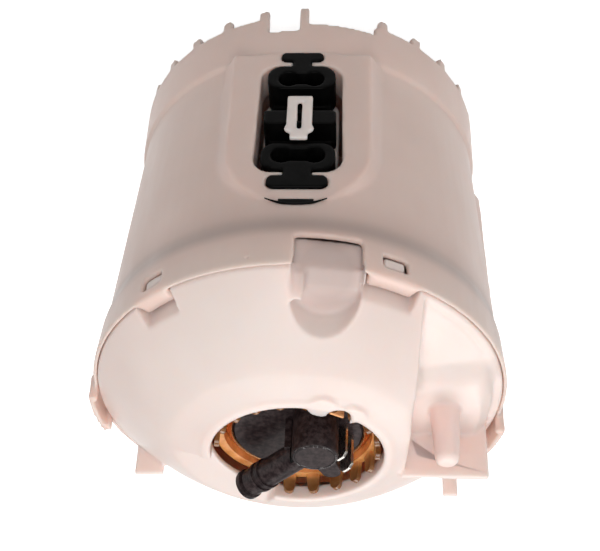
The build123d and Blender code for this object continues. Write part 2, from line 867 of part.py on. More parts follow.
with BuildPart() as top_cover:
    add(cover_form(0))
    add(channel_skirt())
    add(channel_air(0), mode=Mode.SUBTRACT)
    # Rib on the channel's side, under the shoulder
    with BuildSketch(section_plane(channel_bearing).offset(-channel_half_width)):
        with BuildLine():
            width, inner, outer, head = channel_rib
            Polyline(
                (inner, channel_floor_height - cover_wall),
                (outer, channel_bend_height),
                (outer, rim_height),
                (inner, head),
                close=True,
            )
        make_face()
    extrude(amount=width)
    # Plate and stub of the bay, and the fins on the shoulder
    with BuildSketch(Plane.XY.offset(bay_rim_height)):
        with Locations(((bay_wall_back[0] - plate_reach) / 2, plate_face + plate_thickness / 2)):
            Rectangle(plate_reach + bay_wall_back[0] + cover_wall, plate_thickness)
    extrude(amount=plate_height - bay_rim_height)
    with BuildSketch(Plane.XY.offset(platform_height - cover_wall / 2)):
        with Locations(stub_place):
            Circle(stub_root_radius)
    with BuildSketch(Plane.XY.offset(stub_height)):
        with Locations(stub_place):
            Circle(stub_tip_radius)
    loft()
    fillet(faces().sort_by(Axis.Z)[-1].edges(), stub_round)
    for edge_x, middle_y, length, head in fins:
        with BuildSketch(Plane.XY.offset(rim_height)):
            with Locations((edge_x + length / 2, middle_y)):
                Rectangle(abs(length), fin_thickness)
        extrude(amount=head - rim_height)
    # Lip round the opening
    with BuildSketch(Plane.XZ):
        with BuildLine():
            Polyline(
                (hole_radius - cut_over, hole_height - lip_rise - cover_wall / 2),
                (hole_radius + lip_width, hole_height - lip_rise - cover_wall / 2),
                (hole_radius + lip_width, hole_height - lip_rise),
                (hole_radius + lip_width - lip_rise, hole_height - lip_rise / 3),
                (hole_radius + lip_rise, hole_height),
                (hole_radius - cut_over, hole_height),
                close=True,
            )
        make_face()
    revolve(axis=Axis.Z)
    add(cover_form(cover_wall), mode=Mode.SUBTRACT)
    # Bulges of the lip, rooted in the dome
    for bearing, middle, radius in (lip_bump, lip_bulge):
        with BuildSketch(plan_plane(bearing, lip_head)):
            with Locations((middle, 0)):
                Circle(radius)
        extrude(amount=-lip_root)
    # Collar of the opening, and the opening itself
    ring_sector(
        0,
        360,
        hole_radius,
        hole_radius + hole_collar_wall,
        hole_height - hole_collar_height,
        hole_height - lip_rise,
    )
    with BuildSketch(Plane.XY.offset(ledge_height)):
        Circle(hole_radius)
    extrude(amount=hole_height, mode=Mode.SUBTRACT)
    # Bump and tooth that reach in over the crown
    with BuildSketch(plan_plane(lip_bump[0], lip_head)):
        with Locations((lip_bump[1], 0)):
            Circle(lip_bump[2])
    extrude(amount=-lip_plate)
    with BuildSketch(plan_plane(lip_tooth[0], lip_head)):
        with BuildLine():
            Polyline(
                (hole_radius + cut_over, -lip_tooth[2] / 2),
                (hole_radius + cut_over, lip_tooth[2] / 2),
                (hole_radius - lip_tooth[1], 0),
                close=True,
            )
        make_face()
    extrude(amount=-lip_plate)
    # Gap in the lip for the hose
    add(hose_gap_walls())
    ring_sector(
        hose_gap[0] - hose_gap[1],
        2 * hose_gap[1],
        hole_radius - cut_over,
        crest_radius + cut_over,
        hose_gap_floor,
        hole_height + cut_over,
        Mode.SUBTRACT,
    )
    # Latch tongues with their outward nibs
    for bearing, half_angle in latches:
        half = latch_window_half - nib_gap
        ring_sector(
            bearing - latch_window_half,
            2 * latch_window_half,
            latch_pocket_radius - tongue_thickness,
            latch_pocket_radius,
            latch_window_foot,
            ledge_height + cut_over,
        )
        ring_sector(
            bearing - half,
            2 * half,
            latch_pocket_radius - tongue_thickness / 2,
            nib_reach,
            latch_window_foot + nib_gap,
            latch_window_foot + latch_window_height - nib_gap,
        )
top_cover.part.label = "top_cover"
export_step(top_cover.part, "parts/top_cover.step")

# ---------------------------------------------------------------- retaining crown
with BuildPart() as retaining_crown:
    with BuildSketch(Plane.XZ):
        with BuildLine():
            Polyline(
                (crown_inner, sleeve_head - crown_tail),
                (sleeve_inner - slot_gap, sleeve_head - crown_tail),
                (sleeve_inner - slot_gap, sleeve_head),
                (crown_outer, sleeve_head),
                (crown_outer, crown_height),
                (crown_inner, crown_height),
                close=True,
            )
        make_face()
    revolve(axis=Axis.Z)
    for index in range(finger_count):
        bearing = finger_start + index * finger_pitch
        with BuildSketch(facing_plane(bearing, crown_outer - finger_thickness - slot_gap)):
            with BuildLine():
                tip_shoulder = crown_height + finger_height - finger_tip / 2
                Polyline(
                    (-finger_tip / 2, tip_shoulder),
                    (-finger_root / 2, crown_height - cut_over),
                    (finger_root / 2, crown_height - cut_over),
                    (finger_tip / 2, tip_shoulder),
                )
                ThreePointArc(
                    (finger_tip / 2, tip_shoulder),
                    (0, crown_height + finger_height),
                    (-finger_tip / 2, tip_shoulder),
                )
            make_face()
        extrude(amount=finger_thickness)
retaining_crown.part.label = "retaining_crown"
export_step(retaining_crown.part, "parts/retaining_crown.step")

# ---------------------------------------------------------------- pump shell
with BuildPart() as pump_can:
    with BuildSketch(Plane.XZ):
        with BuildLine():
            Polyline(
                (crimp_lip_radius, can_foot),
                (can_radius, can_foot),
                (can_radius, can_head - crimp_reach),
                (can_radius - crimp_reach, can_head),
                (can_radius - crimp_reach - can_wall / 2, can_head - can_wall / 2),
                (can_inner, can_head - crimp_reach - can_wall / 2),
                (can_inner, can_foot + can_wall),
                (crimp_lip_radius, can_foot + can_wall),
                close=True,
            )
        make_face()
    revolve(axis=Axis.Z)
pump_can.part.label = "pump_can"
export_step(pump_can.part, "parts/pump_can.step")

with BuildPart() as pump_boot:
    with BuildSketch(Plane.XZ):
        with BuildLine():
            Polyline(
                (crimp_lip_radius, sleeve_foot + sleeve_wall),
                (sleeve_inner - slot_gap, sleeve_foot + sleeve_wall),
                (sleeve_inner - slot_gap, can_foot + boot_height),
                (can_radius + slot_gap, can_foot + boot_height),
                (can_radius + slot_gap, can_foot),
                (crimp_lip_radius, can_foot),
                close=True,
            )
        make_face()
    revolve(axis=Axis.Z)
pump_boot.part.label = "pump_boot"
export_step(pump_boot.part, "parts/pump_boot.step")

with BuildPart() as pump_end_cap:
    shoulder = can_head - crimp_reach - can_wall / 2 - running_gap
    with BuildSketch(Plane.XZ):
        with BuildLine():
            Polyline(
                (0, cap_foot),
                (cap_radius, cap_foot),
                (cap_radius, shoulder),
                (can_radius - crimp_reach - can_wall, can_head - can_wall / 2 - running_gap),
                (can_radius - crimp_reach - can_wall, cap_height),
                (0, cap_height),
                close=True,
            )
        make_face()
        with Locations((cap_radius, seal_height)):
            Rectangle(4 * seal_section, 2.2 * seal_section, mode=Mode.SUBTRACT)
    revolve(axis=Axis.Z)
    # Outlet nipple with the check valve's seat and chamber
    with BuildSketch(Plane.XY.offset(cap_height - cut_over)):
        with Locations(outlet_place):
            Circle(nipple_radius)
    extrude(amount=nipple_height - cap_height + cut_over)
    with Locations((outlet_x, outlet_y, valve_seat_height)):
        Hole(valve_seat_radius)
    with BuildSketch(Plane.XY.offset(valve_seat_height)):
        with Locations(outlet_place):
            Circle(valve_chamber_radius)
    extrude(amount=nipple_height - valve_seat_height, mode=Mode.SUBTRACT)
    # Brush pockets, the upper bearing's seat and the shaft's end room
    with BuildSketch(Plane.XY.offset(cap_foot)):
        with Locations((-brush_offset, 0), (brush_offset, 0)):
            Rectangle(brush_depth + 2 * running_gap, brush_width + 2 * running_gap)
    extrude(amount=brush_spring_head - cap_foot, mode=Mode.SUBTRACT)
    with BuildSketch(Plane.XY.offset(cap_foot)):
        Circle(bearing_radius + running_gap / 2)
    extrude(amount=bearing_length + cut_over, mode=Mode.SUBTRACT)
    with BuildSketch(Plane.XY.offset(cap_foot)):
        Circle(shaft_radius + seat_gap)
    extrude(amount=shaft_head - cap_foot + cut_over, mode=Mode.SUBTRACT)
    # Slots for the spades
    for place in terminal_places:
        with BuildSketch(Plane(origin=(*place, cap_height), x_dir=(1, 0, 0), z_dir=(0, 0, 1))):
            with Locations(Location((0, 0, 0), (0, 0, terminal_turn))):
                Rectangle(terminal_width + running_gap, terminal_thickness + running_gap)
        extrude(amount=terminal_root - cap_height, mode=Mode.SUBTRACT)
pump_end_cap.part.label = "pump_end_cap"
export_step(pump_end_cap.part, "parts/pump_end_cap.step")

with BuildPart() as can_seal:
    with BuildSketch(Plane.XZ):
        with Locations((can_inner - seal_section, seal_height)):
            Circle(seal_section - running_gap)
    revolve(axis=Axis.Z)
can_seal.part.label = "can_seal"
export_step(can_seal.part, "parts/can_seal.step")

for name, place in zip(("terminal_positive", "terminal_negative"), terminal_places):
    with BuildPart() as terminal:
        with BuildSketch(Plane(origin=(*place, terminal_root), x_dir=(1, 0, 0), z_dir=(0, 0, 1))):
            with Locations(Location((0, 0, 0), (0, 0, terminal_turn))):
                Rectangle(terminal_width, terminal_thickness)
        extrude(amount=terminal_height - terminal_root)
        tips = edges().group_by(Axis.Z)[-1].sort_by(SortBy.LENGTH)[:2]
        chamfer(tips, length=terminal_width / 5, length2=terminal_width / 4)
    terminal.part.label = name
    export_step(terminal.part, f"parts/{name}.step")

# ---------------------------------------------------------------- outlet elbow
spout_plane = Plane(
    origin=(outlet_x, outlet_y, spout_height), x_dir=(0, 0, 1), z_dir=outward(spout_bearing)
)
with BuildPart() as outlet_elbow:
    with BuildSketch(Plane.XY.offset(cap_height)):
        with Locations(outlet_place):
            Circle(tower_radius)
    extrude(amount=tower_height - cap_height)
    fillet(faces().sort_by(Axis.Z)[-1].edges(), tower_round)
    # Spout: plain pipe, two rings, neck and end bead, turned about its own axis
    spout_section = Plane(origin=spout_plane.origin, x_dir=spout_plane.z_dir, z_dir=sideways(spout_bearing))
    with BuildSketch(spout_section):
        with BuildLine():
            bead_start = spout_length - bead_length
            Polyline(
                (0, 0),
                (0, spout_radius),
                (bead_start - ring_length / 2, spout_radius),
                (bead_start - ring_length / 2, spout_radius - ring_rise),
                (bead_start, spout_radius - ring_rise),
                (bead_start + ring_rise, bead_radius),
                (spout_length - ring_length / 2, bead_radius),
                (spout_length, bead_radius - ring_length / 2),
                (spout_length, 0),
                close=True,
            )
        make_face()
        for station in spout_rings:
            with Locations((station, (spout_radius + ring_rise) / 2)):
                Rectangle(ring_length, spout_radius + ring_rise)
    revolve(axis=Axis(spout_plane.origin, spout_plane.z_dir))
    # Side rib down the tower, and the tail arm behind it
    with BuildSketch(Plane.XY.offset(cap_height)):
        with Locations((outlet_x + tower_radius, outlet_y + tower_radius / 3)):
            Rectangle(2 * tower_radius / 3, tower_radius / 4)
    extrude(amount=spout_height - cap_height)
    with BuildSketch(Plane(origin=(outlet_x, outlet_y, tail_foot), x_dir=tail_direction, z_dir=(0, 0, 1))):
        with BuildLine():
            Polyline(
                (0, tail_half_width),
                (0, -tail_half_width),
                (tail_root, -tail_root - tail_half_width),
                (tail_length, -tail_half_width),
                (tail_length, tail_half_width),
                close=True,
            )
        make_face()
        with Locations((tail_length, 0)):
            Circle(tail_half_width)
    extrude(amount=tail_head - tail_foot)
    # Bores: over the nipple, up the tower and out of the spout
    with BuildSketch(Plane.XY.offset(cap_height)):
        with Locations(outlet_place):
            Circle(nipple_radius + running_gap)
    extrude(amount=nipple_height + slot_gap - cap_height, mode=Mode.SUBTRACT)
    with BuildSketch(Plane.XY.offset(nipple_height)):
        with Locations(outlet_place):
            Circle(spout_bore)
    extrude(amount=spout_height + spout_bore - nipple_height, mode=Mode.SUBTRACT)
    with BuildSketch(Plane(origin=spout_plane.origin, z_dir=spout_plane.z_dir)):
        Circle(spout_bore)
    extrude(amount=spout_length + cut_over, mode=Mode.SUBTRACT)
outlet_elbow.part.label = "outlet_elbow"
export_step(outlet_elbow.part, "parts/outlet_elbow.step")

# ---------------------------------------------------------------- check valve
with BuildPart() as check_valve_poppet:
    with BuildSketch(Plane.XY.offset(valve_seat_height)):
        with Locations(outlet_place):
            Circle(poppet_radius)
            with PolarLocations(poppet_radius, 3):
                Circle(poppet_radius / 4, mode=Mode.SUBTRACT)
    extrude(amount=poppet_thickness)
    with BuildSketch(Plane.XY.offset(valve_seat_height)):
        with Locations(outlet_place):
            Circle(valve_seat_radius - running_gap)
            with PolarLocations(valve_seat_radius, 3):
                Circle(valve_seat_radius / 2, mode=Mode.SUBTRACT)
    extrude(amount=-poppet_guide)
    with BuildSketch(Plane.XY.offset(valve_seat_height)):
        with Locations(outlet_place):
            Circle(poppet_stem_radius)
    extrude(amount=poppet_stem)
check_valve_poppet.part.label = "check_valve_poppet"
export_step(check_valve_poppet.part, "parts/check_valve_poppet.step")


def coil_spring(place, foot, head, radius, turns):
    """Round wire spring standing on foot, its wire's outer skin reaching head."""
    rise = head - foot - 2 * spring_wire
    base = Plane(origin=(place[0], place[1], foot + spring_wire))
    with BuildPart() as spring:
        with BuildLine(base):
            coil = Helix(pitch=rise / turns, height=rise, radius=radius)
        with BuildSketch(Plane(origin=coil @ 0, z_dir=coil % 0)):
            RegularPolygon(spring_wire, 6)
        sweep(is_frenet=True)
    return spring.part


check_valve_spring = coil_spring(
    outlet_place,
    valve_seat_height + poppet_thickness,
    nipple_height,
    valve_chamber_radius - 3 * spring_wire,
    5,
)
check_valve_spring.label = "check_valve_spring"
export_step(check_valve_spring, "parts/check_valve_spring.step")

# ---------------------------------------------------------------- brushes
for number, side in enumerate((-1, 1), 1):
    with BuildPart() as brush:
        with BuildSketch(Plane.XY.offset(commutator_head + running_gap)):
            with Locations((side * brush_offset, 0)):
                Rectangle(brush_depth, brush_width)
        extrude(amount=brush_length)
        fillet(edges().filter_by(Axis.Z), slot_gap * 3)
    brush.part.label = f"brush_{number}"
    export_step(brush.part, f"parts/brush_{number}.step")
    brush_spring = coil_spring(
        (side * brush_offset, 0),
        commutator_head + running_gap + brush_length,
        brush_spring_head,
        brush_spring_radius,
        5,
    )
    brush_spring.label = f"brush_spring_{number}"
    export_step(brush_spring, f"parts/brush_spring_{number}.step")

# ---------------------------------------------------------------- rotor
with BuildPart() as rotor_shaft:
    with BuildSketch(Plane.XY.offset(shaft_foot)):
        Circle(shaft_radius)
    extrude(amount=shaft_head - shaft_foot)
    chamfer(edges().filter_by(GeomType.CIRCLE), slot_gap * 3)
rotor_shaft.part.label = "rotor_shaft"
export_step(rotor_shaft.part, "parts/rotor_shaft.step")

with BuildPart() as armature:
    with BuildSketch(Plane.XY.offset(armature_foot)):
        Circle(armature_radius)
        with PolarLocations(armature_radius, armature_slots):
            Rectangle(2 * armature_slot_depth, armature_slot_width, mode=Mode.SUBTRACT)
    extrude(amount=armature_head - armature_foot)
    with BuildSketch(Plane.XY.offset(armature_foot - winding_height)):
        Circle(winding_radius)
    extrude(amount=commutator_foot - armature_foot + winding_height)
    fillet(faces().sort_by(Axis.Z)[0].edges(), winding_height / 2)
    with BuildSketch(Plane.XY.offset(armature_foot - winding_height)):
        Circle(shaft_radius)
    extrude(amount=commutator_foot - armature_foot + winding_height, mode=Mode.SUBTRACT)
armature.part.label = "armature"
export_step(armature.part, "parts/armature.step")

with BuildPart() as commutator:
    with BuildSketch(Plane.XY.offset(commutator_foot)):
        Circle(commutator_radius)
        Circle(shaft_radius, mode=Mode.SUBTRACT)
    extrude(amount=commutator_head - commutator_foot)
    with BuildSketch(Plane.XY.offset(commutator_head)):
        with PolarLocations(commutator_radius * 0.65, armature_slots):
            Rectangle(commutator_radius * 0.8, 2 * spring_wire)
    extrude(amount=-2 * spring_wire, mode=Mode.SUBTRACT)
commutator.part.label = "commutator"
export_step(commutator.part, "parts/commutator.step")

with BuildPart() as impeller:
    with BuildSketch(Plane.XY.offset(impeller_foot)):
        Circle(impeller_radius)
        Circle(shaft_radius, mode=Mode.SUBTRACT)
        with PolarLocations(impeller_radius, impeller_blades):
            Rectangle(2 * blade_depth, blade_gap, mode=Mode.SUBTRACT)
    extrude(amount=impeller_thickness)
impeller.part.label = "impeller"
export_step(impeller.part, "parts/impeller.step")

for number in (1, 2):
    with BuildPart() as magnet:
        with BuildSketch(section_plane(number * 180 - magnet_span / 2)):
            with Locations(((magnet_inner + can_inner - running_gap) / 2, (magnet_foot + magnet_head) / 2)):
                Rectangle(can_inner - running_gap - magnet_inner, magnet_head - magnet_foot)
        revolve(axis=Axis.Z, revolution_arc=magnet_span)
    magnet.part.label = f"magnet_{number}"
    export_step(magnet.part, f"parts/magnet_{number}.step")

for name, foot, side in (("lower_bearing", pump_roof - bearing_length, -1), ("upper_bearing", cap_foot, 1)):
    with BuildPart() as bush:
        with BuildSketch(Plane.XY.offset(foot)):
            Circle(bearing_radius)
            Circle(shaft_radius + running_gap / 2, mode=Mode.SUBTRACT)
        extrude(amount=bearing_length)
    bush.part.label = name
    export_step(bush.part, f"parts/{name}.step")

# ---------------------------------------------------------------- impeller housing
with BuildPart() as pump_cover_upper:
    with BuildSketch(Plane.XY.offset(pump_floor)):
        Circle(cap_radius)
    extrude(amount=pump_roof - pump_floor)
    with BuildSketch(Plane.XY.offset(pump_floor)):
        Circle(impeller_radius + seat_gap)
    extrude(amount=impeller_foot - pump_floor + impeller_thickness + slot_gap, mode=Mode.SUBTRACT)
    with BuildSketch(Plane.XY.offset(pump_roof)):
        Circle(bearing_radius + running_gap / 2)
    extrude(amount=-bearing_length, mode=Mode.SUBTRACT)
    with BuildSketch(Plane.XY.offset(pump_floor)):
        Circle(shaft_radius + seat_gap)
        with Locations(outward(inlet_bearing) * -inlet_place_radius):
            Circle(inlet_bore)
    extrude(amount=pump_roof - pump_floor, mode=Mode.SUBTRACT)
pump_cover_upper.part.label = "pump_cover_upper"
export_step(pump_cover_upper.part, "parts/pump_cover_upper.step")

inlet_place = outward(inlet_bearing) * inlet_place_radius
with BuildPart() as pump_cover_lower:
    with BuildSketch(Plane.XY.offset(can_foot + can_wall)):
        Circle(cap_radius)
    extrude(amount=pump_floor - can_foot - can_wall)
    with BuildSketch(Plane.XY.offset(inlet_foot)):
        with Locations(inlet_place):
            Circle(inlet_radius)
    extrude(amount=pump_floor - inlet_foot)
    with BuildSketch(Plane.XY.offset(inlet_foot)):
        with Locations(inlet_place):
            Circle(inlet_bore)
    extrude(amount=pump_floor - inlet_foot, mode=Mode.SUBTRACT)
    with BuildSketch(Plane.XY.offset(pump_floor)):
        Circle(shaft_radius + seat_gap)
    extrude(amount=shaft_foot - pump_floor - seat_gap, mode=Mode.SUBTRACT)
pump_cover_lower.part.label = "pump_cover_lower"
export_step(pump_cover_lower.part, "parts/pump_cover_lower.step")

with BuildPart() as inlet_screen:
    with BuildSketch(Plane.XY.offset(screen_foot)):
        with Locations(inlet_place):
            Circle(screen_radius)
    extrude(amount=inlet_foot + 2 * screen_wall - screen_foot)
    fillet(faces().sort_by(Axis.Z)[0].edges(), 2 * screen_wall)
    with BuildSketch(Plane.XY.offset(screen_foot + screen_wall)):
        with Locations(inlet_place):
            Circle(inlet_radius + running_gap)
    extrude(amount=inlet_foot + cut_over - screen_foot + screen_wall, mode=Mode.SUBTRACT)
inlet_screen.part.label = "inlet_screen"
export_step(inlet_screen.part, "parts/inlet_screen.step")
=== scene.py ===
# %% [markdown]
# # Fuel pump module: looks around a imported CAD model
# The CAD model fixes every size and place. This script adds what a CAD model lacks: the soft
# edges of a moulding, the grain of each plastic, the polish of each metal, and the small parts
# too fine for the solids. It starts by loading the model as a fixed frame.

# %% Load the frame
import json
import math

import bmesh
import bpy
from mathutils import Matrix, Vector


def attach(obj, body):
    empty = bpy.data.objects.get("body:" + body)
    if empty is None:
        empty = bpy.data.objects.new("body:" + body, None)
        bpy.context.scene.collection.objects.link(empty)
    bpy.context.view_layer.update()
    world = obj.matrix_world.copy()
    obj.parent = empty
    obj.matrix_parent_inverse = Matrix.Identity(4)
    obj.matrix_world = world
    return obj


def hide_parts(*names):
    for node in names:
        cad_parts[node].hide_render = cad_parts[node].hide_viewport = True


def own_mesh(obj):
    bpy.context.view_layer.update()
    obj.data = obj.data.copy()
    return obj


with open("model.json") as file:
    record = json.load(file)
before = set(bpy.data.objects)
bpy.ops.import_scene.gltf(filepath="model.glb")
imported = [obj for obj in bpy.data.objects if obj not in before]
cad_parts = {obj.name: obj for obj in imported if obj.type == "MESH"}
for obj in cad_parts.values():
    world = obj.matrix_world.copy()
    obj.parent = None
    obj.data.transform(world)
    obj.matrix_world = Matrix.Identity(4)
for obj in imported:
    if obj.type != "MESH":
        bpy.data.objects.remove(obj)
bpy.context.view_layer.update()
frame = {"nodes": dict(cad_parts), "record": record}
nodes = frame["nodes"]
MM = 0.001
same_point = 0.002 * MM

# %% [markdown]
# The module is round, so places on it are easiest to give as a bearing, a radius and a height.
# A bearing of 0 faces the front rubber mount and grows towards +X. Small helpers turn such a place into a
# point, a bmesh into an object, and an object into a finished piece that rides on its body, wears one of the
# script's materials and hides the CAD parts it replaces.


# %% Places and pieces
def at(bearing, radius, height):
    """Point on the module, from a bearing in degrees and millimetres."""
    turn = math.radians(bearing)
    return Vector((radius * math.sin(turn), -radius * math.cos(turn), height)) * MM


def finish_piece(piece, material, body="module", replaced=()):
    """Dress a finished mesh, attach it to the body it rides on and hide the parts it stands for."""
    piece.data.materials.clear()
    piece.data.materials.append(material)
    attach(piece, body)
    if replaced:
        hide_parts(*replaced)
    return piece


def new_object(name, mesh):
    """Object for a mesh, a lamp or a camera, linked to the scene."""
    piece = bpy.data.objects.new(name, mesh)
    bpy.context.scene.collection.objects.link(piece)
    return piece


def piece_from_bmesh(name, shape, smooth=True):
    """Merge the doubles, point the faces outwards and make the object."""
    bmesh.ops.remove_doubles(shape, verts=shape.verts, dist=same_point)
    bmesh.ops.recalc_face_normals(shape, faces=shape.faces)
    mesh = bpy.data.meshes.new(name)
    shape.to_mesh(mesh)
    shape.free()
    mesh.polygons.foreach_set("use_smooth", [smooth] * len(mesh.polygons))
    return new_object(name, mesh)


def keep_result(piece):
    """Replace an object's modifiers by the mesh that they make."""
    bpy.context.view_layer.update()
    evaluated = piece.evaluated_get(bpy.context.evaluated_depsgraph_get())
    result = bpy.data.meshes.new_from_object(evaluated)
    piece.modifiers.clear()
    piece.data = result
    return piece


# %% [markdown]
# ## Materials
# Every finish is one Principled shader. Values that are the same all over sit on its own
# sockets. What varies is worked out from Object coordinates, so a pattern stays where it is
# when the piece is seen from another side: a slow tone for uneven pigment, a faster one for
# rubbed patches, and a fine grain in the bump.


# %% Shader helpers
def new_material(name, sockets):
    """Principled material with the given values on its shader's sockets."""
    material = bpy.data.materials.new(name)
    material.use_nodes = True
    shader = material.node_tree.nodes["Principled BSDF"]
    for socket, value in sockets.items():
        shader.inputs[socket].default_value = value
    return material


def add_node(material, kind, inputs=(), **settings):
    """Add a node. An input that is a socket gets a link, and any other a value."""
    node = material.node_tree.nodes.new(kind)
    for key, value in settings.items():
        setattr(node, key, value)
    for key, value in dict(inputs).items():
        if isinstance(value, bpy.types.NodeSocket):
            material.node_tree.links.new(value, node.inputs[key])
        else:
            node.inputs[key].default_value = value
    return node


def into_shader(material, socket, source):
    """Link a socket to one of the Principled shader's inputs."""
    shader = material.node_tree.nodes["Principled BSDF"]
    material.node_tree.links.new(source, shader.inputs[socket])


def place_on(material, stretch=(1, 1, 1)):
    """Object coordinates, stretched where a pattern runs one way."""
    coordinates = add_node(material, "ShaderNodeTexCoord")
    mapping = add_node(
        material, "ShaderNodeMapping", {"Vector": coordinates.outputs["Object"], "Scale": stretch}
    )
    return mapping.outputs["Vector"]


def noise_on(material, place, feature, detail=3.0, roughness=0.55):
    """Noise whose blotches are about the given size in millimetres."""
    texture = add_node(
        material,
        "ShaderNodeTexNoise",
        {"Vector": place, "Scale": 1 / (feature * MM), "Detail": detail, "Roughness": roughness},
    )
    return texture.outputs["Fac"]


def remap(material, source, low, high, start=0.3, end=0.7):
    """Map a stretch of a value, here the middle of a noise, to a low and a high value."""
    spread = add_node(
        material,
        "ShaderNodeMapRange",
        {"Value": source, "From Min": start, "From Max": end, "To Min": low, "To Max": high},
    )
    return spread.outputs["Result"]


def blend_colours(material, factor, first, second, spread=(0.3, 0.7)):
    """Colour that goes from the first to the second over a stretch of the factor."""
    ramp = add_node(material, "ShaderNodeValToRGB", {"Fac": factor})
    ramp.color_ramp.elements[0].color = (*first, 1)
    ramp.color_ramp.elements[1].color = (*second, 1)
    ramp.color_ramp.elements[0].position = spread[0]
    ramp.color_ramp.elements[1].position = spread[1]
    return ramp.outputs["Color"]


def grain(material, place, feature, height, strength=0.5, soft_edge=0.0):
    """Bump from a fine noise, and where asked a normal that rounds sharp edges."""
    bump = add_node(
        material,
        "ShaderNodeBump",
        {
            "Height": noise_on(material, place, feature, 2.0),
            "Distance": height * MM,
            "Strength": strength,
        },
    )
    if soft_edge:
        edge = add_node(material, "ShaderNodeBevel", {"Radius": soft_edge * MM}, samples=4)
        material.node_tree.links.new(edge.outputs["Normal"], bump.inputs["Normal"])
    into_shader(material, "Normal", bump.outputs["Normal"])


# %% [markdown]
# The reservoir, its cover and the pump's holder are moulded in natural acetal. It is milky,
# not white: light enters a wall, scatters and leaves a few millimetres on, a little redder.
# Subsurface scattering gives that. The tone drifts slowly with the wall's thickness.


# %% Natural plastic
def natural_plastic(name, light, shade, soft_edge=0.0):
    """Milky plastic between two tones, with rubbed patches."""
    material = new_material(
        name,
        {
            "Subsurface Weight": 0.55,
            "Subsurface Radius": (1.0, 0.62, 0.5),
            "Subsurface Scale": 6.0 * MM,
            "Specular IOR Level": 0.42,
            "IOR": 1.48,
        },
    )
    place = place_on(material)
    tone = noise_on(material, place, 38, 2.0)
    into_shader(material, "Base Color", blend_colours(material, tone, shade, light))
    rubbed = noise_on(material, place_on(material, (1, 1, 0.3)), 7, 4.0)
    into_shader(material, "Roughness", remap(material, rubbed, 0.33, 0.45))
    grain(material, place, 0.55, 0.02, 0.5, soft_edge)
    return material


def multiply_colour(material, tone):
    """Multiply what feeds the base colour by a tone."""
    source = material.node_tree.nodes["Principled BSDF"].inputs["Base Color"].links[0].from_socket
    toned = add_node(material, "ShaderNodeMix", data_type="RGBA", blend_type="MULTIPLY")
    toned.inputs["Factor"].default_value = 1.0
    material.node_tree.links.new(source, toned.inputs["A"])
    material.node_tree.links.new(tone, toned.inputs["B"])
    into_shader(material, "Base Color", toned.outputs["Result"])


def painted_shade_near(material, centre, reach, tone):
    """Darken the colour round a place with painted shade, which fades out towards a reach."""
    place = add_node(material, "ShaderNodeVectorMath", {0: place_on(material)}, operation="SUBTRACT")
    place.inputs[1].default_value = Vector(centre) * MM
    distance = add_node(material, "ShaderNodeVectorMath", {0: place.outputs[0]}, operation="LENGTH")
    near = remap(material, distance.outputs["Value"], tone, 1.0, 0.55 * reach * MM, reach * MM)
    multiply_colour(material, near)


def tone_by_height(material, stops):
    """Multiply the colour by a tone that follows the height, from (millimetres, tone) stops."""
    parts = add_node(material, "ShaderNodeSeparateXYZ", {"Vector": place_on(material)})
    low, high = stops[0][0], stops[-1][0]
    height = remap(material, parts.outputs["Z"], 0.0, 1.0, low * MM, high * MM)
    ramp = add_node(material, "ShaderNodeValToRGB", {"Fac": height})
    ramp.color_ramp.interpolation = "B_SPLINE"
    elements = ramp.color_ramp.elements
    elements[0].position, elements[1].position = 0.0, 1.0
    for place, tone in stops[1:-1]:
        elements.new((place - low) / (high - low))
    for element, (place, tone) in zip(elements, stops):
        element.color = (tone, tone * 0.995, tone * 0.99, 1)
    multiply_colour(material, ramp.outputs["Color"])


wall_plastic = natural_plastic("natural_wall", (0.80, 0.62, 0.565), (0.74, 0.565, 0.51), 0.5)
cover_plastic = natural_plastic("natural_cover", (0.88, 0.715, 0.67), (0.83, 0.655, 0.61))
holder_plastic = natural_plastic("natural_holder", (0.88, 0.72, 0.68), (0.84, 0.68, 0.63), 0.3)

# %% [markdown]
# A soft dark band round the pot under the shoulder is painted shade: there the wall leans out and faces away
# from the light above, and the wall is painted a little darker from the collar down towards it. A colour ramp
# along Z draws it. The cover's channel gets painted shade too, toned by its distance from the channel's
# middle.

# %% Painted shade under the shoulder and in the channel
# Painted shade: the wall darkens from the collar down and is darkest in a soft band under the shoulder, where
# the wall leans out away from the lamps above.
wall_painted_shade = [(0, 1.0), (20, 1.0), (30, 0.95), (80, 0.9), (90, 0.84), (95.5, 0.40), (100, 0.95), (112, 1.0)]
channel_middle = (-8.6, -54.0, 107.0)
channel_shade_reach, channel_shade = 13.0, 0.72
tone_by_height(wall_plastic, wall_painted_shade)
# Painted shade in the cover's channel, darkest at the channel's middle.
painted_shade_near(cover_plastic, channel_middle, channel_shade_reach, channel_shade)

# %% [markdown]
# Black pieces are never one black. The rubber has a fine skin that a mould leaves and a grey
# bloom. The moulded black plastic of the pump's head is glossier, with rubbed patches and dust.


# %% Black rubber and black plastic
def black_finish(
    name, dark, worn, rough, blotch, fine, depth, soft_edge=0.0, gloss=0.3, spread=(0.3, 0.7)
):
    """Black with a paler bloom. Blotch, fine grain and its depth are in millimetres."""
    material = new_material(name, {"Specular IOR Level": gloss})
    place = place_on(material)
    bloom = noise_on(material, place, blotch, 5.0, 0.62)
    into_shader(material, "Base Color", blend_colours(material, bloom, dark, worn, spread))
    into_shader(material, "Roughness", remap(material, bloom, rough[0], rough[1]))
    grain(material, place, fine, depth, 0.6, soft_edge)
    return material


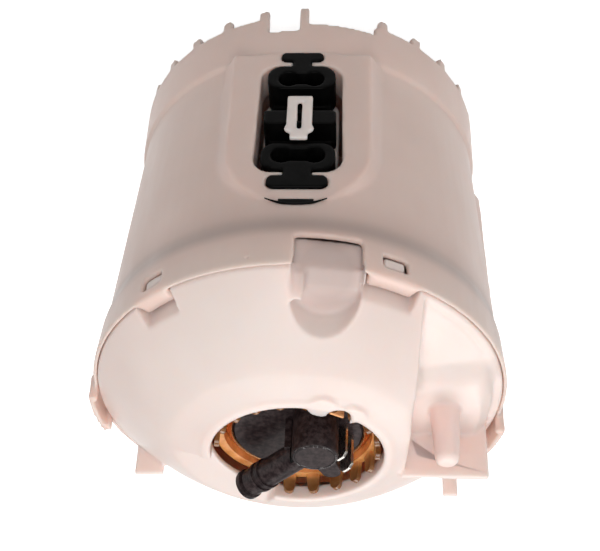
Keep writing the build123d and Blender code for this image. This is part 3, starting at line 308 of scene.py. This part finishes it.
rubber = black_finish(
    "nitrile_rubber",
    dark=(0.001, 0.001, 0.001),
    worn=(0.004, 0.004, 0.004),
    rough=(0.3, 0.45),
    blotch=3.5,
    fine=0.3,
    depth=0.03,
    gloss=0.035,
)
black_plastic = black_finish(
    "moulded_black",
    dark=(0.016, 0.010, 0.011),
    worn=(0.075, 0.055, 0.055),
    rough=(0.28, 0.46),
    blotch=1.6,
    fine=0.3,
    depth=0.03,
    soft_edge=0.3,
    gloss=0.12,
    spread=(0.4, 0.8),
)
glossy_black = black_finish(
    "rubbed_black",
    dark=(0.012, 0.009, 0.010),
    worn=(0.05, 0.04, 0.04),
    rough=(0.16, 0.28),
    blotch=0.9,
    fine=0.3,
    depth=0.02,
    gloss=0.5,
)

# %% [markdown]
# The can is passivated steel with a copper tone, turned on a lathe, so its fine lines run
# round the axis. Noise that is squeezed along Z draws them. The crown is amber plastic, clear
# enough to glow at its edges, and its fingers are darker than its foot. The spades are tinned.


# %% Metals and the amber crown
def drawn_metal(name, bright, dull, rough, stretch, blotch, metallic=1.0):
    """Metal between two tones, whose lines run where the noise is squeezed least."""
    material = new_material(name, {"Metallic": metallic})
    lines = noise_on(material, place_on(material, stretch), blotch, 4.0)
    into_shader(material, "Base Color", blend_colours(material, lines, dull, bright))
    into_shader(material, "Roughness", remap(material, lines, rough[0], rough[1]))
    grain(material, place_on(material, stretch), blotch / 3, 0.01, 0.4, 0.2)
    return material


can_metal = drawn_metal(
    "copper_toned_steel", (0.83, 0.44, 0.22), (0.62, 0.28, 0.12), (0.22, 0.38), (1, 1, 12), 2.0
)
tab_metal = drawn_metal("copper_tab", (0.92, 0.50, 0.24), (0.74, 0.33, 0.13), (0.4, 0.5), (1, 1, 3), 1.6, 0.4)
tinned_metal = drawn_metal(
    "tinned_spade", (0.86, 0.83, 0.79), (0.7, 0.66, 0.6), (0.2, 0.36), (1, 1, 0.2), 0.6
)
spring_metal = drawn_metal(
    "ground_steel", (0.62, 0.62, 0.62), (0.45, 0.45, 0.45), (0.25, 0.4), (1, 1, 6), 0.8
)
bronze_metal = drawn_metal(
    "sintered_bronze", (0.7, 0.52, 0.28), (0.5, 0.35, 0.17), (0.4, 0.55), (1, 1, 1), 0.3
)
cast_metal = drawn_metal("die_cast", (0.68, 0.68, 0.69), (0.52, 0.52, 0.54), (0.42, 0.6), (1, 1, 1), 0.8)
copper_metal = drawn_metal(
    "copper_segments", (0.78, 0.42, 0.24), (0.6, 0.3, 0.16), (0.25, 0.4), (1, 1, 8), 1.0
)
winding_metal = drawn_metal(
    "varnished_winding", (0.36, 0.2, 0.1), (0.2, 0.11, 0.06), (0.3, 0.5), (3, 3, 0.4), 0.8
)

amber = new_material(
    "amber_plastic",
    {
        "Subsurface Weight": 0.35,
        "Subsurface Radius": (1.0, 0.35, 0.1),
        "Subsurface Scale": 2.0 * MM,
        "Specular IOR Level": 0.6,
    },
)
amber_place = place_on(amber)
amber_tone = noise_on(amber, amber_place, 4, 3.0)
into_shader(amber, "Base Color", blend_colours(amber, amber_tone, (0.62, 0.23, 0.06), (0.95, 0.46, 0.17)))
crown_tones = [(124, 1.0), (125.6, 1.0), (127, 0.32), (132, 0.26)]
tone_by_height(amber, crown_tones)
into_shader(amber, "Roughness", remap(amber, amber_tone, 0.12, 0.24))
grain(amber, amber_place, 0.6, 0.02, 0.4, 0.3)

ferrite = black_finish("ferrite", (0.05, 0.05, 0.052), (0.09, 0.09, 0.092), (0.5, 0.7), 2.0, 0.4, 0.03)
carbon = black_finish("carbon_brush", (0.02, 0.02, 0.02), (0.05, 0.05, 0.05), (0.4, 0.6), 1.0, 0.3, 0.02)

# %% Every CAD node gets its finish
finishes = {
    "natural_plastic": cover_plastic,
    "black_rubber": rubber,
    "black_plastic": black_plastic,
    "amber_plastic": amber,
    "can_metal": can_metal,
    "terminal_brass": tinned_metal,
    "spring_steel": spring_metal,
    "magnet_ferrite": ferrite,
    "bearing_brass": bronze_metal,
    "pump_aluminium": cast_metal,
    "screen_fabric": holder_plastic,
    "winding_metal": winding_metal,
    "commutator_copper": copper_metal,
    "brush_carbon": carbon,
}
bodies = frame["record"]["behaviour"]["bodies"]
body_of = {name: body for body, names in bodies.items() for name in names}
slot_of = {row["node"]: row["material_slot"] for row in frame["record"]["subparts"]}
special = {
    "reservoir_housing": wall_plastic,
    "pump_holder": holder_plastic,
    "base_strainer": holder_plastic,
}
for name, node in nodes.items():
    node.data.materials.clear()
    node.data.materials.append(special.get(name, finishes[slot_of[name]]))
print("finished nodes", len(nodes))

# %% [markdown]
# ## Soft mouldings
# A mould's parting edges are never sharp: plastic shrinks as it cools, and a cutter leaves a
# radius in every corner. Rounding the edges one by one would be slow and would miss the places
# where a ramp runs into a dome. So the solid's skin is rebuilt as an even mesh of small faces
# and relaxed a few rounds, which softens every edge alike. Zones that the mould blends more are
# relaxed for longer, by a weight that each vertex gets from its place.


# %% Skin of a moulding
def merged_copy(name, *sources):
    """Copy of CAD nodes as one mesh with its doubles merged."""
    shape = bmesh.new()
    for source in sources:
        shape.from_mesh(nodes[source].data)
    bmesh.ops.remove_doubles(shape, verts=shape.verts, dist=same_point)
    mesh = bpy.data.meshes.new(name)
    shape.to_mesh(mesh)
    shape.free()
    return new_object(name, mesh)


def soft_skin(piece, voxel, rounds, most=190000):
    """Rebuild the skin in even faces, relax it, and keep it under a number of triangles."""
    skin = piece.modifiers.new("skin", "REMESH")
    skin.mode = "VOXEL"
    skin.voxel_size = voxel * MM
    relax = piece.modifiers.new("relax", "SMOOTH")
    relax.iterations = rounds
    keep_result(piece)
    triangles = 2 * len(piece.data.polygons)
    if triangles > most:
        thin = piece.modifiers.new("thin", "DECIMATE")
        thin.ratio = most / triangles
        keep_result(piece)
    piece.data.polygons.foreach_set("use_smooth", [True] * len(piece.data.polygons))
    return piece


def relax_zone(piece, weight_at, rounds):
    """Relax only where the weight, worked out from a place in millimetres, is above zero."""
    zone = piece.vertex_groups.new(name="zone")
    for vertex in piece.data.vertices:
        weight = weight_at(vertex.co / MM)
        if weight > 0:
            zone.add([vertex.index], min(weight, 1.0), "REPLACE")
    relax = piece.modifiers.new("relax", "SMOOTH")
    relax.iterations = rounds
    relax.vertex_group = "zone"
    keep_result(piece)
    piece.vertex_groups.clear()


def fade(distance, reach, edge):
    """One inside a reach, falling to zero over an edge's width."""
    return max(0.0, min(1.0, (reach + edge - distance) / edge))


def cut_with(piece, tool):
    """Subtract one mesh object from another and drop the tool."""
    cut = piece.modifiers.new("cut", "BOOLEAN")
    cut.operation = "DIFFERENCE"
    cut.solver = "EXACT"
    cut.object = tool
    keep_result(piece)
    bpy.data.objects.remove(tool)


# %% [markdown]
# Slim bars and tabs are boxes with a bevel of two segments on every edge. A matrix turns each
# to its bearing, leans it back like a mount's pad, and sets it in place. The lean follows from
# the radius and height of a pad's foot and head.


# %% Rounded bars
def rounded_bar(name, size, matrix, edge=0.3):
    """Box of a size in millimetres with rounded edges, turned and placed by a matrix."""
    shape = bmesh.new()
    bmesh.ops.create_cube(shape, size=1.0)
    bmesh.ops.scale(shape, vec=Vector(size) * MM, verts=shape.verts)
    bmesh.ops.bevel(
        shape, geom=shape.edges[:], offset=edge * MM, segments=2, profile=0.5, affect="EDGES"
    )
    shape.transform(matrix)
    return piece_from_bmesh(name, shape)


def turned(bearing, tilt, place):
    """Matrix that faces a bar outward at a bearing, leans it back and moves it."""
    turn = Matrix.Rotation(math.radians(bearing), 4, "Z") @ Matrix.Rotation(tilt, 4, "X")
    return Matrix.Translation(place) @ turn


mount_bearings = (0, 120, 240)
pad_foot = (56.3, 21.4)
pad_head = (58.95, 86.6)
panel_tilt = math.atan2(pad_head[0] - pad_foot[0], pad_head[1] - pad_foot[1])

# %% [markdown]
# ### Cover
# The cover's opening has a rolled lip. Beside the pump's head the lip swells inward, and next
# to the swelling a scallop is cut out of it, which leaves room for a tab of the crown. The
# scallop is cut first, from the merged solid. The rebuilt skin then rounds its edges too.
# The bay's ramp, its stub left out, and the crest are then relaxed for longer.

# %% Cover with its scallop and blended bay
cover_skin = merged_copy("cover_skin", "top_cover")
scallop_radius = 3.0
scallop_flare = 1.2
scallop_depth = 14
scallop_place = at(-30.5, 24.1, 131.0)
scallop = bmesh.new()
bmesh.ops.create_cone(
    scallop,
    cap_ends=True,
    segments=32,
    radius1=scallop_radius * MM,
    radius2=scallop_radius * scallop_flare * MM,
    depth=scallop_depth * MM,
    matrix=Matrix.Translation(scallop_place),
)
cut_with(cover_skin, piece_from_bmesh("scallop_cutter", scallop))
soft_skin(cover_skin, 0.55, 5)
crest_ring = 37.0
crest_foot = 126.5
ramp_squeeze = 1.6
ramp_middle = Vector((-44.0, -21.6, 114.5))
stub_axis = (-43.2, -1.5)


def blended(place):
    """Weight of the zones that the mould blends: the bay's ramp, less its stub, and the crest."""
    radius = math.hypot(place.x, place.y)
    squeezed = Vector((place.x, place.y * ramp_squeeze, place.z))
    in_bay = fade((squeezed - ramp_middle).length, 13.0, 4.0)
    on_stub = fade(math.hypot(place.x - stub_axis[0], place.y - stub_axis[1]), 5.5, 1.5)
    on_crest = fade(abs(radius - crest_ring), 1.8, 1.6) if place.z > crest_foot else 0.0
    return max(in_bay * (1 - on_stub), 0.5 * on_crest)


relax_zone(cover_skin, blended, 110)
finish_piece(cover_skin, cover_plastic, "module", ["top_cover"])
print("cover faces", len(cover_skin.data.polygons))

# %% [markdown]
# ### Housing
# The pot is relaxed the same way. Its rim gets more rounds, because there the wall, the rim's
# lip and the dome meet in one soft shoulder.

# %% Housing with its soft shoulder
housing_skin = soft_skin(merged_copy("housing_skin", "reservoir_housing"), 0.6, 3)
rim_height = 110.6


def on_rim(place):
    """Weight of the rim, where the lip's edge is blended."""
    return fade(abs(place.z - rim_height), 1.2, 1.6)


relax_zone(housing_skin, on_rim, 12)
finish_piece(housing_skin, wall_plastic, "module", ["reservoir_housing"])
print("housing faces", len(housing_skin.data.polygons))

# %% [markdown]
# ### Holder
# Each clip head is split by a slit, so that it can squeeze through the rubber. The slit runs on
# into the stem, which is cut here in a copy of the holder before its skin is rebuilt.

# %% Holder with split clips
holder_skin = merged_copy("holder_skin", "pump_holder")
slit_size = (1.3, 7.0, 11.6)
for bearing in mount_bearings:
    slit_place = turned(bearing, panel_tilt, at(bearing, 55.6, 52.4))
    cut_with(holder_skin, rounded_bar("slit_cutter", slit_size, slit_place, 0.1))
soft_skin(holder_skin, 0.5, 2)
finish_piece(holder_skin, holder_plastic, "module", ["pump_holder"])
print("holder faces", len(holder_skin.data.polygons))

# %% [markdown]
# ### Rubber mounts
# Each mount is one cast lump of rubber: two rings, a block and two T-shaped keys that lock it
# in its window. Rubber flows to every corner, but its edges still come out round.

# %% Rubber mounts and the foot valve's flap
for number in (1, 2, 3):
    source = f"rubber_mount_{number}"
    mount_skin = soft_skin(merged_copy(f"mount_skin_{number}", source), 0.42, 3)
    body = body_of[source]
    finish_piece(mount_skin, rubber, body, [source])
    print(source, "on", body, "faces", len(mount_skin.data.polygons))

flap_skin = soft_skin(merged_copy("flap_skin", "foot_valve_flap"), 0.3, 2)
finish_piece(flap_skin, rubber, body_of["foot_valve_flap"], ["foot_valve_flap"])

# %% [markdown]
# ### Small black parts
# Above each mount a slit runs behind the pad's head. A black seal closes it from inside, and a thin black
# crescent round the pad's head is a painted shadow in the joint there. The outlet's tower carries a slim
# upright guard beside its tail, dressed in the deepest black so that it also stands for the shade of the gap
# beside it. Seals and guard are rounded bars.


# %% Slit seals, painted shadow crescents and the tower's guard
def crescent(name, bearing, radius, half_angle, width, thickness=0.5):
    """Thin black crescent of painted shadow that follows the round head of a pad and tapers to both sides."""
    head_centre = 44.95
    set_back = 0.55
    steps = 24
    frame_of = turned(bearing, panel_tilt, at(bearing, *pad_foot))
    shape = bmesh.new()
    rows = []
    for step in range(steps + 1):
        turn = math.radians(half_angle * (2 * step / steps - 1))
        taper = max(math.cos(turn * 90 / half_angle), 0.05)
        row = []
        for reach, depth in ((0, 0), (width * taper, 0), (width * taper, thickness), (0, thickness)):
            across = (radius + reach) * math.sin(turn)
            rise = head_centre + (radius + reach) * math.cos(turn)
            row.append(shape.verts.new(frame_of @ (Vector((across, depth - set_back, rise)) * MM)))
        rows.append(row)
    for first, second in zip(rows, rows[1:]):
        for corner in range(4):
            following = (corner + 1) % 4
            shape.faces.new((first[corner], first[following], second[following], second[corner]))
    shape.faces.new(rows[0])
    shape.faces.new(rows[-1])
    return piece_from_bmesh(name, shape)


seal_size = (9.9, 1.7, 1.8)
# Painted shadow: a thin black crescent in the joint round each pad's head.
shadow_radius, shadow_half_angle, shadow_width = 20.6, 25.0, 0.7
for number, bearing in enumerate(mount_bearings, 1):
    seal_place = turned(bearing, panel_tilt, at(bearing, 58.15, 85.9))
    seal = rounded_bar(f"slit_seal_{number}", seal_size, seal_place, 0.15)
    finish_piece(seal, rubber)
    painted_shadow = crescent(f"slit_shadow_{number}", bearing, shadow_radius, shadow_half_angle, shadow_width)
    finish_piece(painted_shadow, rubber)

# The guard takes the rubber's deepest black as painted shade of the gap beside it.
guard_size = (1.3, 3.2, 13.2)
guard_place = Vector((1.05, -6.85, 131.2)) * MM
guard_and_shade = rounded_bar("tower_guard_and_shade", guard_size, Matrix.Translation(guard_place), 0.4)
finish_piece(guard_and_shade, rubber)

# %% [markdown]
# The tower's top is dished inside a rolled edge, which catches the light as a thin ring. A
# half section is spun round the tower's axis. Next to the tower a copper tab of the crown
# stands in the cover's scallop.


# %% Rolled edge and catch tab
def spun_ring(name, axis, section, steps=64):
    """Closed section of (radius, height) points in millimetres, spun round an upright axis."""
    shape = bmesh.new()
    ring = [shape.verts.new((axis[0] * MM + r * MM, axis[1] * MM, z * MM)) for r, z in section]
    face = shape.faces.new(ring)
    centre = Vector((axis[0], axis[1], 0)) * MM
    bmesh.ops.spin(
        shape,
        geom=[face, *face.edges, *face.verts],
        cent=centre,
        axis=(0, 0, 1),
        angle=2 * math.pi,
        steps=steps,
        use_merge=True,
    )
    return piece_from_bmesh(name, shape)


tower_axis = (-5.5, -9.8)
edge_middle = (5.95, 138.3)
edge_half_width, edge_half_height = 0.5, 0.42
edge_section = [
    (edge_middle[0] + edge_half_width * math.cos(turn), edge_middle[1] + edge_half_height * math.sin(turn))
    for turn in (math.radians(30 * step) for step in range(12))
]
tower_edge = spun_ring("tower_edge", tower_axis, edge_section)
finish_piece(tower_edge, glossy_black)

tab_bearing = -30
tab_size = (4.6, 0.9, 6.4)
tab_place = turned(tab_bearing, 0.0, at(tab_bearing, 23.3, 128.0))
catch_tab = rounded_bar("catch_tab", tab_size, tab_place, 0.35)
finish_piece(catch_tab, tab_metal)

# %% [markdown]
# ### Springs
# Each spring is held at its upper end and gets shorter as what it presses on rises. Here a merged copy of
# each spring, shaded smooth, rides on its spring's body in place of the CAD node and keeps its length.

# %% Springs as merged copies
for source, joint, fixed_end in (
    ("check_valve_spring", "check_valve_slide", 131.0),
    ("brush_spring_1", "brush_1_slide", 117.5),
    ("brush_spring_2", "brush_2_slide", 117.5),
):
    coil = merged_copy(f"{source}_coil", source)
    coil.data.polygons.foreach_set("use_smooth", [True] * len(coil.data.polygons))
    finish_piece(coil, spring_metal, body_of[source], [source])
    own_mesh(coil)

# %% [markdown]
# ### Strainer cloth
# A cloth of fine strands closes the slots under the reservoir. Geometry Nodes lays it: a line
# of points across the disc, on each a square strand as long as the chord there, and the same
# again at a right angle. The strands repeat, so one tree with named inputs makes them all.


# %% Strainer cloth by Geometry Nodes
def strand_tree():
    """Tree that lays strands across a disc one way and, a little higher, the other way."""
    tree = bpy.data.node_groups.new("strands", "GeometryNodeTree")
    tree.interface.new_socket("Geometry", in_out="OUTPUT", socket_type="NodeSocketGeometry")
    sockets = {}
    for title, kind in (
        ("Disc radius", "NodeSocketFloat"),
        ("Pitch", "NodeSocketFloat"),
        ("Strand", "NodeSocketFloat"),
        ("Count", "NodeSocketInt"),
        ("Finish", "NodeSocketMaterial"),
    ):
        made = tree.interface.new_socket(title, in_out="INPUT", socket_type=kind)
        sockets[title] = made.identifier
    entry = tree.nodes.new("NodeGroupInput")
    leave = tree.nodes.new("NodeGroupOutput")
    lift = 0.12

    def math_node(operation, first, second=None):
        node = tree.nodes.new("ShaderNodeMath")
        node.operation = operation
        for place, value in enumerate((first, second)):
            if isinstance(value, bpy.types.NodeSocket):
                tree.links.new(value, node.inputs[place])
            elif value is not None:
                node.inputs[place].default_value = value
        return node.outputs[0]

    line = tree.nodes.new("GeometryNodeMeshLine")
    tree.links.new(entry.outputs["Count"], line.inputs["Count"])
    start = tree.nodes.new("ShaderNodeCombineXYZ")
    half_span = math_node("MULTIPLY", math_node("SUBTRACT", entry.outputs["Count"], 1.0), -0.5)
    tree.links.new(math_node("MULTIPLY", half_span, entry.outputs["Pitch"]), start.inputs["X"])
    step = tree.nodes.new("ShaderNodeCombineXYZ")
    tree.links.new(entry.outputs["Pitch"], step.inputs["X"])
    tree.links.new(start.outputs[0], line.inputs["Start Location"])
    tree.links.new(step.outputs[0], line.inputs["Offset"])

    strand = tree.nodes.new("GeometryNodeMeshCylinder")
    strand.inputs["Vertices"].default_value = 4
    strand.inputs["Depth"].default_value = 2.0
    tree.links.new(entry.outputs["Strand"], strand.inputs["Radius"])

    position = tree.nodes.new("GeometryNodeInputPosition")
    parts = tree.nodes.new("ShaderNodeSeparateXYZ")
    tree.links.new(position.outputs[0], parts.inputs[0])
    radius_squared = math_node("POWER", entry.outputs["Disc radius"], 2.0)
    x_squared = math_node("POWER", parts.outputs["X"], 2.0)
    chord = math_node("SQRT", math_node("SUBTRACT", radius_squared, x_squared))
    stretch = tree.nodes.new("ShaderNodeCombineXYZ")
    stretch.inputs["X"].default_value = 1.0
    stretch.inputs["Y"].default_value = 1.0
    tree.links.new(chord, stretch.inputs["Z"])

    spread = tree.nodes.new("GeometryNodeInstanceOnPoints")
    spread.inputs["Rotation"].default_value = (math.pi / 2, 0, 0)
    tree.links.new(line.outputs[0], spread.inputs["Points"])
    tree.links.new(strand.outputs["Mesh"], spread.inputs["Instance"])
    tree.links.new(stretch.outputs[0], spread.inputs["Scale"])

    crossed = tree.nodes.new("GeometryNodeTransform")
    crossed.inputs["Rotation"].default_value = (0, 0, math.pi / 2)
    crossed.inputs["Translation"].default_value = (0, 0, lift * MM)
    tree.links.new(spread.outputs[0], crossed.inputs["Geometry"])
    both = tree.nodes.new("GeometryNodeJoinGeometry")
    tree.links.new(spread.outputs[0], both.inputs[0])
    tree.links.new(crossed.outputs[0], both.inputs[0])
    real = tree.nodes.new("GeometryNodeRealizeInstances")
    tree.links.new(both.outputs[0], real.inputs[0])
    dressed = tree.nodes.new("GeometryNodeSetMaterial")
    tree.links.new(real.outputs[0], dressed.inputs["Geometry"])
    tree.links.new(entry.outputs["Finish"], dressed.inputs["Material"])
    tree.links.new(dressed.outputs[0], leave.inputs[0])
    return tree, sockets


cloth = new_object("strainer_cloth", bpy.data.meshes.new("strainer_cloth"))
cloth_maker = cloth.modifiers.new("strands", "NODES")
cloth_maker.node_group, cloth_sockets = strand_tree()
cloth_height = 9.3
cloth_sizes = {
    "Disc radius": 22.0 * MM,
    "Pitch": 0.62 * MM,
    "Strand": 0.13 * MM,
    "Count": 71,
    "Finish": holder_plastic,
}
for title, value in cloth_sizes.items():
    cloth_maker[cloth_sockets[title]] = value
keep_result(cloth)
cloth.data.transform(Matrix.Translation((0, 0, cloth_height * MM)))
finish_piece(cloth, holder_plastic)
cloth_top = max(vertex.co.z for vertex in cloth.data.vertices) / MM
print("cloth faces", len(cloth.data.polygons), "top", round(cloth_top, 2))


# %% [markdown]
# ## Floor, light and camera
# The module stands on its teeth on a white floor. The floor looks white to the camera, in reflections and
# through clear parts, and the world to the camera and through clear parts, by Light Path, so no extra light
# falls on the plastic to get a white background, and the floor still takes a soft shadow.


# %% White floor
def white_stage(material, plain_colour, glow):
    """Diffuse floor that adds a glow only for camera, glossy and transmission rays."""
    tree = material.node_tree
    tree.nodes.remove(tree.nodes["Principled BSDF"])
    rays = add_node(material, "ShaderNodeLightPath")
    seen = add_node(
        material,
        "ShaderNodeMath",
        {0: rays.outputs["Is Camera Ray"], 1: rays.outputs["Is Glossy Ray"]},
        operation="MAXIMUM",
    )
    seen = add_node(
        material,
        "ShaderNodeMath",
        {0: seen.outputs[0], 1: rays.outputs["Is Transmission Ray"]},
        operation="MAXIMUM",
    )
    strength = add_node(
        material, "ShaderNodeMath", {0: seen.outputs[0], 1: glow}, operation="MULTIPLY"
    )
    plain = add_node(material, "ShaderNodeBsdfDiffuse", {"Color": (*plain_colour, 1)})
    light = add_node(material, "ShaderNodeEmission", {"Strength": strength.outputs[0]})
    both = add_node(material, "ShaderNodeAddShader", {0: plain.outputs[0], 1: light.outputs[0]})
    tree.links.new(both.outputs[0], tree.nodes["Material Output"].inputs["Surface"])


floor_half = 3.0
floor_level = -0.02 * MM
floor_shape = bmesh.new()
corners = [(x * floor_half, y * floor_half) for x, y in ((-1, -1), (1, -1), (1, 1), (-1, 1))]
floor_shape.faces.new([floor_shape.verts.new((x, y, floor_level)) for x, y in corners])
floor = piece_from_bmesh("studio_floor", floor_shape, smooth=False)
floor_white = bpy.data.materials.new("studio_white")
floor_white.use_nodes = True
white_stage(floor_white, (0.5, 0.49, 0.48), 0.86)
floor.data.materials.append(floor_white)

# %% World
world_strength = (0.24, 1.0)
world = bpy.data.worlds.new("studio")
bpy.context.scene.world = world
world.use_nodes = True
tree = world.node_tree
background = tree.nodes["Background"]
rays = tree.nodes.new("ShaderNodeLightPath")
seen = tree.nodes.new("ShaderNodeMath")
seen.operation = "MAXIMUM"
tree.links.new(rays.outputs["Is Camera Ray"], seen.inputs[0])
tree.links.new(rays.outputs["Is Transmission Ray"], seen.inputs[1])
strength = tree.nodes.new("ShaderNodeMapRange")
strength.inputs["To Min"].default_value = world_strength[0]
strength.inputs["To Max"].default_value = world_strength[1]
tree.links.new(seen.outputs[0], strength.inputs["Value"])
tree.links.new(strength.outputs["Result"], background.inputs["Strength"])
background.inputs["Color"].default_value = (1.0, 0.985, 0.975, 1)

# %% [markdown]
# Two large soft lamps hang high, one behind and one in front. Their steep light makes the dome
# bright and leaves a soft band under the rim, where the wall leans out. A weaker one beside the
# camera reaches into the windows, and two weak ones at the sides give the wall its pale edges.


# %% Lamps
def soft_lamp(name, place, size, power):
    """Square area lamp, aimed at the middle of the module."""
    data = bpy.data.lights.new(name, "AREA")
    data.shape = "SQUARE"
    data.size = size
    data.energy = power
    data.color = lamp_colour
    lamp = new_object(name, data)
    lamp.location = place
    aim = lamp_target - lamp.location
    lamp.rotation_euler = aim.to_track_quat("-Z", "Y").to_euler()
    return lamp


lamp_colour = (1, 0.985, 0.97)
lamp_target = Vector((0, 0, 80 * MM))
soft_lamp("lamp_back", (-0.10, 0.42, 0.78), 0.6, 4.3)
soft_lamp("lamp_front", (-0.02, -0.40, 0.70), 0.45, 2.5)
soft_lamp("lamp_camera", (-0.06, -0.50, 0.42), 0.25, 0.45)
soft_lamp("lamp_left", (0.75, 0.05, 0.22), 0.5, 0.8)
soft_lamp("lamp_right", (-0.75, -0.10, 0.18), 0.5, 1.1)

# %% [markdown]
# The camera looks down at the front from a height of a third of a metre, and is rolled over
# by half a turn, so that the dome hangs at the bottom of the picture.

# %% Camera
camera_place = Vector((-17.5, -326.5, 327.3)) * MM
camera_aim = Vector((1.32, -0.08, 65.0)) * MM
camera_roll = math.radians(182.37)
camera_data = bpy.data.cameras.new("camera")
camera_data.lens = 78.0
camera_data.sensor_width = 36.0
camera_data.clip_start = 0.01
camera = new_object("camera", camera_data)
forward = (camera_aim - camera_place).normalized()
right = forward.cross(Vector((0, 0, 1))).normalized()
up = right.cross(forward)
rolled_right = right * math.cos(camera_roll) + up * math.sin(camera_roll)
rolled_up = up * math.cos(camera_roll) - right * math.sin(camera_roll)
axes = Matrix((rolled_right, rolled_up, -forward)).transposed().to_4x4()
camera.matrix_world = Matrix.Translation(camera_place) @ axes
bpy.context.scene.camera = camera
bpy.context.scene.view_settings.view_transform = "Standard"
